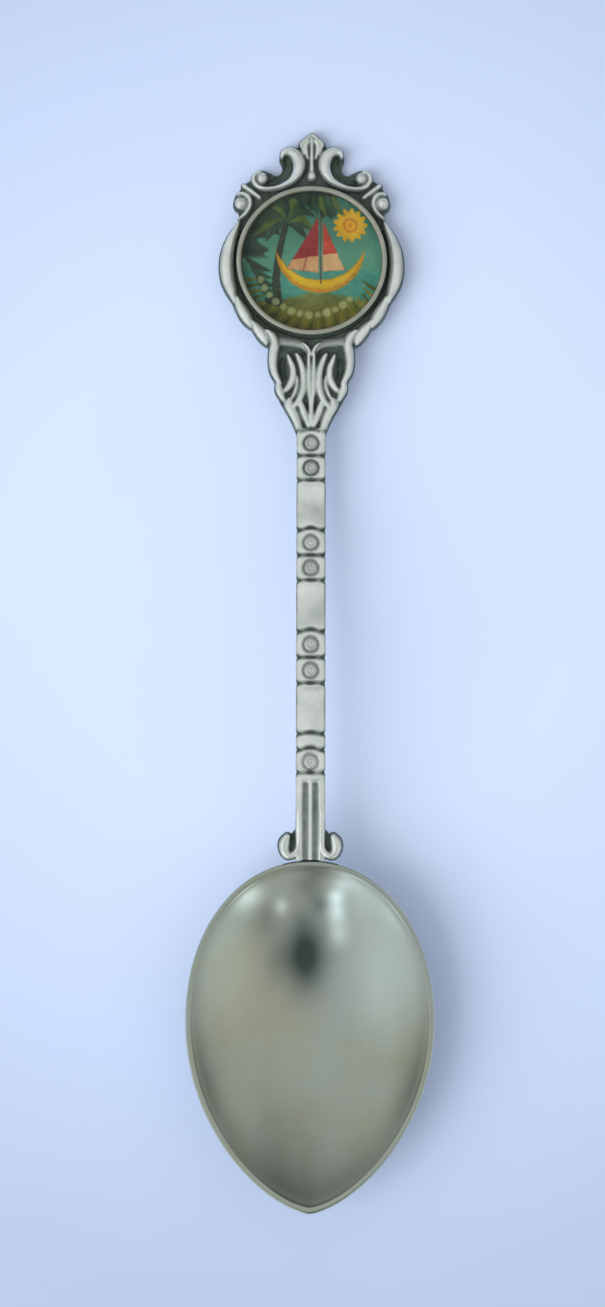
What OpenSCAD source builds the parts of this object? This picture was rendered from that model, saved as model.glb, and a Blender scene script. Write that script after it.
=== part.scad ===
// Souvenir spoon: a pressed bowl soldered to a cast handle with a scrolled crest,
// and a round picture medallion glued into the seat of the crest.
// The spoon lies face up: +Y runs from the bowl to the crest, +Z is up.
// The origin is on the table, under the centre of the spoon's length.

/* [Overall] */
// Length from the tip of the bowl to the tip of the crest
spoon_l = 115; // [112:1:120]

/* [Bowl] */
// Length of the bowl
bowl_l = 37.2; // [35:0.1:40]
// Greatest width of the bowl
bowl_w = 26.3; // [24:0.1:28]
// Distance from the heel of the bowl to its widest line
bowl_heel_l = 17; // [16:0.1:19]
// Depth of the hollow under the rim
bowl_depth = 5.6; // [5:0.1:7]
// Sheet thickness under the hollow
bowl_t = 0.8; // [0.6:0.1:1]
// Width of the flat land round the rim
rim_land = 0.6; // [0.4:0.1:1.2]
// Thickness of the rim's outer edge
rim_t = 0.5; // [0.4:0.1:0.8]
// Rise of the rim towards both ends
rim_sheer = 0.5; // [0:0.1:0.8]

/* [Stem] */
// Width of the stem
stem_w = 3.1; // [2.8:0.1:3.6]
// Thickness of the stem
stem_t = 1.8; // [1.6:0.1:2.2]
// Distance between the groups of bands along the stem
band_pitch = 10.75; // [10.5:0.05:11]
// Height of a cell that holds a rosette
cell_l = 2.68; // [2.5:0.02:2.8]
// Radius of a rosette
rosette_r = 0.98; // [0.8:0.02:1.1]
// Depth of the engraved lines
engraving = 0.22; // [0.1:0.02:0.3]

/* [Crest] */
// Distance from the centre of the medallion to the tip of the crest
crest_l = 14.2; // [13:0.05:14.5]
// Angle at which the crest slopes down to the table
crest_tilt = 4; // [3:0.5:5]
// Thickness of the crest's back plate
plate_t = 1.5; // [1.3:0.1:1.8]
// Height of the scrollwork over the back plate
relief = 0.6; // [0.4:0.05:0.8]

/* [Medallion] */
// Radius of the medallion cup's rolled rim
medal_r = 8; // [7.5:0.1:8.1]
// Width of the moat between the rim and the scrollwork
moat = 0.5; // [0.4:0.05:0.7]
// Depth of the seat in the back plate
seat_depth = 0.5; // [0.3:0.1:0.7]
// Radius of the rolled rim's bead
lip_r = 0.25; // [0.2:0.05:0.3]
// Sheet thickness of the medallion cup
cup_t = 0.25; // [0.2:0.05:0.3]
// Height of the rolled rim's middle over the seat
lip_h = 1.4; // [1.2:0.05:1.5]
// Thickness of the printed picture
picture_t = 0.15; // [0.1:0.05:0.2]
// Rise of the clear dome over its edge
dome_rise = 0.35; // [0.2:0.05:0.5]
// Thickness of the adhesive under the cup
glue_t = 0.08; // [0.05:0.01:0.1]

/* [Hidden] */
$fn = 64;

eps = 0.01;            // overlap that keeps cuts clean
half_l = spoon_l / 2;
crest_y = half_l - crest_l * cos(crest_tilt) - plate_t * sin(crest_tilt);

// Bowl: its outline is half a superellipse at the heel and a pointed curve at the tip.
bowl_tip_l = bowl_l - bowl_heel_l;
bowl_y = -half_l + bowl_tip_l;      // the widest line
heel_y = -half_l + bowl_l;
rim_z = bowl_depth + bowl_t;        // height of the rim at the widest line
heel_power = 2.1;
tip_power = 1.33;                   // at the rim; it eases to 1 at the bottom
outline_n = 44;                     // points round half of the outline
ring_n = 9;                         // rings between the rim and the bottom
bottom_s = 0.06;                    // size of the smallest ring, which closes the bottom

// Stem: a cubic arch from the heel of the bowl to the neck of the crest.
neck_l = 18.2;                      // from the medallion's centre to the neck
neck_y = crest_y - neck_l * cos(crest_tilt);
rest_y = 7.8;                       // where the back of the crest meets the table, in the crest's frame
crest_back_z = rest_y * sin(crest_tilt);
arch_z0 = rim_z + rim_sheer - stem_t + 0.2;
arch_m0 = 0.22;
arch_z1 = crest_back_z + (crest_y - neck_y) * tan(crest_tilt);
arch_m1 = -tan(crest_tilt);
arch_n = 26;
foot_y = heel_y + 0.1;              // the stem stops here, a solder gap off the bowl
foot_arc_r = 12;                    // radius of the bowl's outline at its heel
last_group_y = neck_y - 3 * band_pitch + 0.2;
last_band_y = last_group_y - 3.95;
flute_w = 0.7;
tongue_l = 6.5;                     // the tongue under the bowl that the solder holds
tongue_w = 2.9;
tongue_t = 0.95;
solder_t = 0.08;
solder_margin = 0.3;

// Medallion: every radius follows from the rolled rim.
seat_r = medal_r + moat;
cup_wall_r = medal_r - lip_r;       // outside of the cup's wall, under the bead
inside_r = cup_wall_r - cup_t;
clearance = 0.04;                   // round the picture and the dome
seat_z = plate_t - seat_depth;
cup_z = seat_z + glue_t;
picture_z = cup_z + cup_t;
dome_z = picture_z + picture_t;
dome_edge_h = cup_z + lip_h - 0.1 - dome_z;
dome_r = inside_r - clearance;
dome_n = 8;                         // bands that approach the dome's curve
dome_curve = [for (i = [0:dome_n]) [dome_r * cos(90 * i / dome_n), dome_edge_h + dome_rise * sin(90 * i / dome_n) * sin(90 * i / dome_n)]];

// The crest is drawn 13.5 long over the medallion's centre. fit() stretches that part to crest_l.
drawn_l = 13.5;
function fit_y(y) = y > 0 ? y * crest_l / drawn_l : y;
function fit(points) = [for (p = points) [for (i = [0:len(p) - 1]) i == 1 ? fit_y(p[1]) : p[i]]];

// Right half of the crest's outline, from the tip down to the neck.
crest_edge = [
    [0, 13.5], [0.7, 12.9], [1.4, 12.1], [1.35, 11.65], [2.3, 11.95], [3.2, 11.4], [3.55, 10.6],
    [3.25, 9.8], [3.4, 9.2], [3.95, 8.95], [4.5, 9.15], [5.3, 9.5], [6.1, 9.2], [6.6, 8.5],
    [7.4, 7.95], [7.8, 7.35], [8.3, 6.75], [8.35, 5.9], [7.85, 5.2], [8, 3.8], [8.8, 2.5],
    [9.6, 1.05], [9.95, -0.5], [9.85, -1.8], [9.3, -3.3], [8.55, -4.5], [8.05, -5.4], [7.2, -6.5],
    [6.4, -7.2], [5.9, -8], [5.3, -8.75], [4.6, -9.1], [4.45, -10.3], [4.4, -11.6], [4, -12.7],
    [3.8, -13.6], [3.35, -14.8], [2.9, -15.6], [2.2, -16.8], [1.6, -18.2], [1.55, -18.6]
];

// Scrollwork on the right half: each stroke is a list of [x, y, half width].
scrolls = [
    // finial lobe
    [[0.1, 13.1, 0.12], [0.75, 12.7, 0.18], [1.15, 12.05, 0.2], [0.9, 11.4, 0.16], [0.45, 10.4, 0.12]],
    // C-scroll with a long tail
    [[3, 11.05, 0.3], [2.1, 11.3, 0.48], [1.35, 10.6, 0.52], [1.15, 9.6, 0.46], [1.5, 8.6, 0.38],
     [2.6, 7.75, 0.27], [3.7, 7.5, 0.22], [4.7, 7.5, 0.22], [5.6, 7.75, 0.25], [6.05, 8.3, 0.3]],
    // rib between the volutes
    [[5.35, 6.45, 0.2], [6.2, 7.2, 0.2], [7.05, 7.95, 0.22]],
    // curl over the lower volute
    [[5.95, 6, 0.15], [6.2, 6.6, 0.18], [6.7, 7.05, 0.24], [7.2, 7, 0.35]],
    // long leaf beside the medallion, then two short ones
    [[7.2, 5, 0.15], [7.75, 3.95, 0.2], [8.35, 2.8, 0.26], [8.95, 1.3, 0.36], [9.25, -0.4, 0.45],
     [9.05, -1.9, 0.45], [8.5, -3.7, 0.25]],
    [[7.9, -4, 0.12], [7.7, -4.6, 0.3], [7.3, -5.4, 0.36], [6.85, -6.2, 0.22]],
    [[6.35, -6.2, 0.12], [6.1, -6.8, 0.26], [5.7, -7.5, 0.3], [5.25, -8.3, 0.2]],
    // heart-shaped top of the neck, and its side
    [[4.6, -7.6, 0.16], [3.7, -8.6, 0.32], [3.95, -9.8, 0.36], [4, -11.1, 0.34], [3.6, -12.3, 0.26]],
    [[3.4, -8.5, 0.2], [2.6, -8.85, 0.25], [1.6, -8.9, 0.28], [0.7, -9.2, 0.25], [0.12, -9.8, 0.14]],
    // fan of leaves
    [[2.3, -10.1, 0.14], [1.95, -11, 0.22], [1.85, -12.1, 0.26], [2.1, -13.1, 0.28], [2.45, -13.8, 0.24]],
    [[1.5, -9.9, 0.12], [1.1, -10.7, 0.2], [0.7, -11.6, 0.24], [0.55, -12.7, 0.24], [0.65, -13.8, 0.24],
     [1, -14.8, 0.22], [1.5, -15.4, 0.18]],
    // lobes down the neck's edge, then the point of the V and its band
    [[3.25, -12.9, 0.26], [3.35, -13.6, 0.32], [3.05, -14.4, 0.22]],
    [[2.2, -14.7, 0.2], [2.5, -15.2, 0.28], [2.2, -15.9, 0.22]],
    [[1, -15.1, 0.2], [0.75, -16, 0.22], [0.4, -16.9, 0.24], [0.05, -17.6, 0.14]],
    [[2, -16.1, 0.18], [1.7, -16.9, 0.24], [1.3, -17.9, 0.24]]
];
// Strokes on the middle line
spines = [
    [[0, 13.1, 0.1], [0, 12, 0.16], [0, 10.5, 0.17], [0, 9, 0.25]],
    [[0, -10.1, 0.2], [0, -11.6, 0.34], [0, -13, 0.4], [0, -14.4, 0.24], [0, -16.4, 0.16]]
];
// Beads: [x, y, radius]
beads = [[5.3, 8.6, 0.62], [7.5, 6.3, 0.7]];
drop = [0, 8.85, 0.45];

// Catmull-Rom curve through points of any dimension, with n steps between neighbours.
function spline_at(p, i, t) =
    let (last = len(p) - 1, a = p[max(i - 1, 0)], b = p[i], c = p[min(i + 1, last)], d = p[min(i + 2, last)])
    0.5 * (2 * b + (c - a) * t + (2 * a - 5 * b + 4 * c - d) * t * t + (3 * b - a - 3 * c + d) * t * t * t);
function spline(p, n) = [for (i = [0:len(p) - 2], k = [0:n - 1]) spline_at(p, i, k / n), p[len(p) - 1]];

// Outline of a stroke: its middle line moved out to both sides by its half width.
function heading(c, i) = let (d = c[min(i + 1, len(c) - 1)] - c[max(i - 1, 0)]) [d[0], d[1]] / norm([d[0], d[1]]);
function side(c, i, s) = let (h = heading(c, i)) [c[i][0] - s * h[1] * c[i][2], c[i][1] + s * h[0] * c[i][2]];
function ribbon(p, n) = let (c = spline(p, n), m = len(c) - 1)
    concat([for (i = [0:m]) side(c, i, 1)], [for (i = [m:-1:0]) side(c, i, -1)]);

// Back of the stem: height and slope of the arch at y.
function arch_t(y) = (y - heel_y) / (neck_y - heel_y);
function back_z(y) = let (t = arch_t(y), l = neck_y - heel_y)
    (1 - 3 * t * t + 2 * t * t * t) * arch_z0 + t * (1 - t) * (1 - t) * l * arch_m0
    + (3 * t * t - 2 * t * t * t) * arch_z1 + t * t * (t - 1) * l * arch_m1;
function arch_angle(y) = atan((back_z(y + 0.1) - back_z(y - 0.1)) / 0.2);
function band_line(group, line) = neck_y - group * band_pitch - line * cell_l;

// Bowl outline point at angle a, from -90 at the tip to 90 at the heel, shrunk by a margin all round.
function bowl_half_w(margin) = bowl_w / 2 - margin;
function bowl_point(a, margin, s) = a >= 0
    ? [s * bowl_half_w(margin) * pow(1 - pow(sin(a), heel_power), 1 / heel_power),
       s * (bowl_heel_l - margin) * sin(a)]
    : [s * bowl_half_w(margin) * pow(cos(a), 1 + (tip_power - 1) * s * s),
       s * (bowl_tip_l - 1.3 * margin) * sin(a)];
function sheer_at(y) = rim_sheer * pow(y / bowl_tip_l, 2);
// How far the hollow has come down at size s, from 0 at the rim to 1 at the bottom
function sink(s) = 1 - pow(s, 2);
function bowl_ring(margin, s, z) = [
    for (i = [0:2 * outline_n - 1])
        let (a = i < outline_n ? -90 + 180 * i / outline_n : 90 - 180 * (i - outline_n) / outline_n,
             p = bowl_point(a, margin, s))
        [i < outline_n ? p[0] : -p[0], bowl_y + p[1], z + sheer_at(p[1])]
];
function ring_s(i) = bottom_s + (1 - bottom_s) * i / ring_n;
function bowl_outside(grow) = [for (i = [0:ring_n]) let (s = ring_s(i))
    bowl_ring(-grow, s, rim_z - rim_t - grow - (rim_z - rim_t) * sink(s) + grow * (1 - sink(s)))];

// Closed solid through a stack of rings that all have the same number of points.
module ring_stack(rings) {
    m = len(rings[0]);
    last = (len(rings) - 1) * m;
    polyhedron(
        points = [for (r = rings, p = r) p],
        faces = concat(
            [[for (j = [0:m - 1]) j]],
            [for (i = [0:len(rings) - 2], j = [0:m - 1], k = [0:1])
                let (a = i * m + j, b = i * m + (j + 1) % m)
                k == 0 ? [a, a + m, b] : [b, a + m, b + m]],
            [[for (j = [m - 1:-1:0]) last + j]]));
}

module mirrored() {
    children();
    mirror([1, 0, 0]) children();
}

// Frame of the crest: origin on its back plane under the medallion's centre.
module crest_frame() {
    translate([0, crest_y, crest_back_z]) rotate([-crest_tilt, 0, 0]) children();
}

// Frame on the top of the stem at y, with Z square to it.
module stem_frame(y) {
    translate([0, y, back_z(y)]) rotate([arch_angle(y), 0, 0]) translate([0, 0, stem_t]) children();
}

module bowl() {
    color("silver") ring_stack(concat(
        bowl_outside(0),
        [bowl_ring(0, 1, rim_z)],
        [for (i = [ring_n:-1:0]) let (s = ring_s(i)) bowl_ring(rim_land, s, rim_z - bowl_depth * sink(s))]));
}

// What lies outside the bowl's back, between two distances from it, within the plan that is given.
module behind_bowl(near, far) {
    difference() {
        intersection() {
            ring_stack(concat(bowl_outside(far), [bowl_ring(-far, 1, rim_z)]));
            linear_extrude(rim_z - rim_t) children();
        }
        ring_stack(concat(bowl_outside(near), [bowl_ring(-near, 1, rim_z)]));
    }
}

module tongue_plan(margin) {
    polygon([
        [-tongue_w / 2 - margin, heel_y + 1], [tongue_w / 2 + margin, heel_y + 1],
        [tongue_w / 2 + margin, heel_y - 1.2], [0.5 + margin, heel_y - tongue_l - margin],
        [-0.5 - margin, heel_y - tongue_l - margin], [-tongue_w / 2 - margin, heel_y - 1.2]]);
}

// A band between two heights over the stem's back, as wide as the spoon.
module stem_band(low, high) {
    ys = [for (i = [0:arch_n]) heel_y - 1 + (neck_y + 1.3 - heel_y) * i / arch_n];
    rotate([90, 0, 90]) linear_extrude(bowl_w, center = true)
        polygon(concat(
            [for (y = ys) [y, back_z(y) + low]],
            [for (i = [arch_n:-1:0]) [ys[i], back_z(ys[i]) + high]]));
}

module foot_volute() {
    translate([2.5, foot_y + 1.9]) circle(r = 0.8);
    translate([2.3, foot_y + 1.2]) circle(r = 0.8);
    polygon([[1.2, foot_y + 4.2], [1.6, foot_y + 3.7], [2.2, foot_y + 2.7], [2.3, foot_y + 0.4], [1.2, foot_y + 0.4]]);
}

module stem_plan() {
    translate([-stem_w / 2, foot_y - 0.6]) square([stem_w, neck_y - foot_y + 0.9]);
    mirrored() foot_volute();
}

// Two concentric engraved rings round a small boss.
module rosette_cut() {
    for (r = [rosette_r, 0.5 * rosette_r])
        translate([0, 0, -0.6 * engraving]) difference() {
            cylinder(r = r, h = 1);
            translate([0, 0, -1]) cylinder(r = r - 0.16, h = 3);
        }
}

module stem_engraving() {
    for (group = [0:2], line = [0:2]) stem_frame(band_line(group, line)) band_cut();
    for (group = [0:2], line = [0:1]) stem_frame(band_line(group, line + 0.5)) rosette_cut();
    for (y = [0, 1.65, 3.95]) stem_frame(last_group_y - y) band_cut();
    stem_frame(last_group_y - 2.85) rosette_cut();
    intersection() {
        stem_band(stem_t - engraving, stem_t + 1);
        mirrored() translate([0.12, foot_y + 0.3, 0]) cube([flute_w, last_band_y - 0.9 - foot_y, 20]);
    }
}

module band_cut() {
    translate([-stem_w, -0.13, -engraving]) cube([2 * stem_w, 0.26, 1]);
}

module crest_plan() {
    half = spline(fit(crest_edge), 2);
    polygon(concat(half, [for (i = [len(half) - 1:-1:1]) [-half[i][0], half[i][1]]]));
}

module scrollwork_plan() {
    mirrored() {
        for (s = scrolls) polygon(ribbon(fit(s), 3));
        for (b = fit(beads)) translate([b[0], b[1]]) circle(r = b[2]);
    }
    for (s = spines) polygon(ribbon(fit(s), 3));
    translate([drop[0], fit_y(drop[1])]) circle(r = drop[2]);
}

module crest() {
    intersection() {
        crest_frame() difference() {
            union() {
                linear_extrude(plate_t) crest_plan();
                translate([0, 0, plate_t - 0.2]) linear_extrude(relief + 0.2) scrollwork_plan();
            }
            translate([0, 0, seat_z]) cylinder(r = seat_r, h = 5);
        }
        translate([-bowl_w, 0, 0]) cube([2 * bowl_w, spoon_l, 20]);
    }
}

module stem() {
    difference() {
        intersection() {
            stem_band(0, stem_t);
            linear_extrude(20) stem_plan();
        }
        stem_engraving();
        translate([0, foot_y - foot_arc_r, -eps]) cylinder(r = foot_arc_r, h = 20);
    }
}

module handle() {
    color("lightgray") {
        crest();
        stem();
        behind_bowl(solder_t, tongue_t) tongue_plan(0);
    }
}

module solder_joint() {
    color("darkgray") behind_bowl(0, solder_t) tongue_plan(solder_margin);
}

module seat_adhesive() {
    color("beige") crest_frame() translate([0, 0, seat_z]) cylinder(r = cup_wall_r - 0.4, h = glue_t);
}

module medallion_cup() {
    color("gainsboro") crest_frame() translate([0, 0, cup_z]) rotate_extrude() {
        square([cup_wall_r, cup_t]);
        translate([inside_r, 0]) square([cup_t, lip_h]);
        translate([cup_wall_r, lip_h]) circle(r = lip_r);
    }
}

module picture_disc() {
    color("teal") crest_frame() translate([0, 0, picture_z]) cylinder(r = dome_r, h = picture_t);
}

module clear_dome() {
    color("lightcyan", 0.4) crest_frame() translate([0, 0, dome_z])
        rotate_extrude() polygon(concat([[0, 0], [dome_r, 0]], dome_curve));
}

bowl();
handle();
solder_joint();
seat_adhesive();
medallion_cup();
picture_disc();
clear_dome();
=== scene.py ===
"""Souvenir spoon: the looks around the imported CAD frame.

The handle is sculpted as a distance field: scrollwork, bands and leaves are strokes that raise or
engrave a height map, and the map is bent along the spoon's arch. Lengths in the sculpting code are
in millimetres, and every mesh is scaled to metres when it is made.
"""
import math

import bpy
import numpy as np
import openvdb
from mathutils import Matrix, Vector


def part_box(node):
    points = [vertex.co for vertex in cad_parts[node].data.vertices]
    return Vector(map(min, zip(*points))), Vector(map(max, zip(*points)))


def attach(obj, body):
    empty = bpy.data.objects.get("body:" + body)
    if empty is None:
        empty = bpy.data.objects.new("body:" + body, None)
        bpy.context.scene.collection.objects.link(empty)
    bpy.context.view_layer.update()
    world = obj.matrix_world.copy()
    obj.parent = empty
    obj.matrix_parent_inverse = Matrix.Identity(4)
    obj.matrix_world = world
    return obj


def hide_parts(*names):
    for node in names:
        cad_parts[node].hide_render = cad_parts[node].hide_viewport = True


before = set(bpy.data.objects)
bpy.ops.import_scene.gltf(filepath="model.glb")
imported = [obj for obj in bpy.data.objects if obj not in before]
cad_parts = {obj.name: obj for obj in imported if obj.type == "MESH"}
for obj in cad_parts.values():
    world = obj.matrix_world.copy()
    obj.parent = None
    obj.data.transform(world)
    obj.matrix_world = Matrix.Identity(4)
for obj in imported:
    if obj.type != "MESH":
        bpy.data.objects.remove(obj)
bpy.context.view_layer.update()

MM = 0.001
# how fine the meshes are: lattice pitches in mm, and counts of points and rings
HANDLE_PITCH, PICTURE_PITCH = 0.09, 0.055
BOWL_AROUND, BOWL_RINGS = 360, 70


def box_mm(node):
    """Lowest and highest corner of a CAD node, in mm."""
    low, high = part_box(node)
    return [v / MM for v in low], [v / MM for v in high]


# ---- sizes, in mm
BOWL_LOW, BOWL_HIGH = box_mm("bowl")
HANDLE_HIGH = box_mm("handle")[1]

BOWL_HALF_W = BOWL_HIGH[0]
BOWL_L = BOWL_HIGH[1] - BOWL_LOW[1]
HEEL_Y = BOWL_HIGH[1]
HEEL_L = 17.0  # from the heel to the widest line
TIP_L = BOWL_L - HEEL_L
MEAN_L = BOWL_L / 2
WIDEST_Y = HEEL_Y - HEEL_L
RIM_Z = 6.4
RIM_SHEER = BOWL_HIGH[2] - RIM_Z  # rise of the rim at the tip
RIM_LAND = 0.6  # width of the flat land round the hollow
RIM_T = 0.5  # thickness of the sheet
HOLLOW = 5.6  # depth of the hollow
SQUARENESS = 0.1  # how much fuller than an ellipse the heel is at the outline

STEM_HALF = 1.55
STEM_T = 1.8
FOOT_ARC = 12.0  # radius of the arc in which the stem ends, along the bowl's rim
FOOT_Y = HEEL_Y + 0.1
FOOT_BACK_Z = RIM_Z + 0.5 - STEM_T + 0.2
FOOT_SLOPE = 0.22
TONGUE_L = 6.5  # the tongue under the bowl, from the heel
SOLDER_T = 0.08

CREST_TILT = math.radians(4)
CREST_L = 14.2
PLATE_T = 1.5
CREST_Y = HANDLE_HIGH[1] - CREST_L * math.cos(CREST_TILT) - PLATE_T * math.sin(CREST_TILT)
CREST_FLAT_S = 7.8  # beyond this the crest's back lies flat on the table
CREST_Z = CREST_FLAT_S * math.sin(CREST_TILT)
SEAT_R = 8.2
SEAT_Z = 1.0
RECESS_Z = 1.25  # level of the ground between the scrolls
NECK_S = -18.2  # s is the distance along the spoon from the medallion's centre
NECK_Y = CREST_Y + NECK_S * math.cos(CREST_TILT)


# ---- small tools
def spline(points, steps):
    """Catmull-Rom curve through points of any dimension."""
    p = np.array(points, float)
    ends = np.vstack([2 * p[0] - p[1], p, 2 * p[-1] - p[-2]])
    t = (np.arange(steps) / steps)[:, None]
    out = []
    for a, b, c, d in zip(ends, ends[1:], ends[2:], ends[3:]):
        out.append(0.5 * (2 * b + (c - a) * t + (2 * a - 5 * b + 4 * c - d) * t**2
                          + (3 * b - a - 3 * c + d) * t**3))
    return np.vstack(out + [p[-1:]])


def to_segment(x, y, a, b):
    """How far along a segment the nearest point to each place lies, 0 to 1, and its distance."""
    d = b[:2] - a[:2]
    u = unit(((x - a[0]) * d[0] + (y - a[1]) * d[1]) / max(d @ d, 1e-9))
    return u, np.hypot(x - a[0] - u * d[0], y - a[1] - u * d[1])


def smooth_max(a, b, k):
    """Maximum with the corner rounded over a height of k."""
    return np.maximum(a, b) + np.clip(k - np.abs(a - b), 0, None) ** 2 / (4 * k)


def smooth_min(a, b, k):
    """Minimum with the corner rounded over a height of k."""
    return np.minimum(a, b) - np.clip(k - np.abs(a - b), 0, None) ** 2 / (4 * k)


def unit(v):
    """Held between 0 and 1."""
    return np.clip(v, 0, 1)


def step(low, high, v):
    """0 up to low, 1 from high on, and smooth between them. It falls if low is the larger."""
    t = unit((v - low) / (high - low))
    return t * t * (3 - 2 * t)


def blurred(a, passes):
    """Binomial blur with edges held."""
    for _ in range(passes):
        for axis in (0, 1):
            pad = [(1, 1) if i == axis else (0, 0) for i in range(2)]
            b = np.pad(a, pad, mode="edge")
            n = a.shape[axis]
            low, mid, high = (np.take(b, range(i, i + n), axis) for i in range(3))
            a = 0.25 * low + 0.5 * mid + 0.25 * high
    return a


def mirrored(half):
    """Both halves of a map that is drawn for x >= 0."""
    return np.concatenate([half[:0:-1], half])


def in_scene(name, data):
    """A new object, linked into the scene."""
    obj = bpy.data.objects.new(name, data)
    bpy.context.scene.collection.objects.link(obj)
    return obj


def new_piece(name, verts, faces, material, node, smooth=True):
    """A mesh object in metres that rides on the spoon and stands for a CAD node."""
    mesh = bpy.data.meshes.new(name)
    mesh.from_pydata(np.asarray(verts, np.float32) * MM, [], faces)
    mesh.validate()
    mesh.polygons.foreach_set("use_smooth", np.full(len(mesh.polygons), smooth))
    mesh.materials.append(material)
    obj = in_scene(name, mesh)
    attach(obj, "root")
    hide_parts(node)
    return obj


def store(obj, name, values):
    """Stores one number for each point of a mesh, which its material reads by name."""
    attr = obj.data.attributes.new(name, "FLOAT", "POINT")
    attr.data.foreach_set("value", values.astype(np.float32))


def grid_faces(rows, cols, wrap):
    """Quads between the rows of a grid of points."""
    last = cols if wrap else cols - 1
    i, j = np.meshgrid(np.arange(rows - 1), np.arange(last), indexing="ij")
    a = i * cols + j
    b = i * cols + (j + 1) % cols
    return np.stack([a, b, b + cols, a + cols], -1).reshape(-1, 4)


def crest_to_world(p):
    """From the crest's tilted frame to the spoon's frame."""
    x, s, w = np.asarray(p, float).T
    c, t = math.cos(CREST_TILT), math.sin(CREST_TILT)
    return np.stack([x, CREST_Y + s * c + w * t, CREST_Z - s * t + w * c], -1)


# ---- the spoon's arch
def back_height(s):
    """Height of the handle's back at s: a cubic arch from the foot to the straight crest."""
    length = NECK_Y - HEEL_Y
    neck_z, neck_slope = CREST_Z - NECK_S * math.sin(CREST_TILT), -math.tan(CREST_TILT)
    t = 1 + (s - NECK_S) / length
    arch = ((1 - 3 * t**2 + 2 * t**3) * FOOT_BACK_Z + t * (1 - t) ** 2 * length * FOOT_SLOPE
            + (3 * t**2 - 2 * t**3) * neck_z + t**2 * (t - 1) * length * neck_slope)
    return np.where(s > NECK_S, CREST_Z - s * math.sin(CREST_TILT), arch)


def along(s):
    """The spoon's Y at s."""
    return np.where(s > NECK_S, CREST_Y + s * math.cos(CREST_TILT), NECK_Y + s - NECK_S)


def station(y):
    """The s of a place on the stem at Y."""
    return y - NECK_Y + NECK_S


# ---- the handle's ornament
DRAWN_L = 13.5  # length of the crest as drawn, above the medallion's centre
LOWER_STRETCH = 1.01


def fit(points):
    """Stretches drawn points to the crest's real length, above and below the centre."""
    p = np.array(points, float)
    p[:, 1] *= np.where(p[:, 1] > 0, CREST_L / DRAWN_L, LOWER_STRETCH)
    return p


# Right half of the crest's outline, from the tip down to the neck.
CREST_EDGE = [
    [0, 13.5], [0.7, 12.9], [1.4, 12.1], [1.3, 11.75], [1.65, 11.85], [2.4, 11.95], [3.2, 11.4],
    [3.5, 10.6], [3.2, 9.8], [3.35, 9.2], [3.9, 8.95], [4.45, 9.2], [5.3, 9.5], [6.1, 9.2],
    [6.5, 8.5], [7.35, 7.95], [7.75, 7.35], [8.25, 6.75], [8.3, 5.9], [7.85, 5.2], [7.95, 3.9],
    [8.75, 2.5], [9.55, 1.05], [9.92, -0.5], [9.82, -1.8], [9.3, -3.2], [8.5, -4.4], [8.1, -5.3],
    [7.2, -6.5], [6.4, -7.2], [5.95, -8], [5.3, -8.75], [4.75, -8.9], [4.6, -9.6], [4.55, -10.6],
    [4.4, -11.7], [4, -12.7], [3.85, -13.5], [3.45, -14.7], [2.95, -15.6], [2.25, -16.8],
    [1.7, -17.8], [1.56, -18.4], [1.55, -19.5]]

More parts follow.
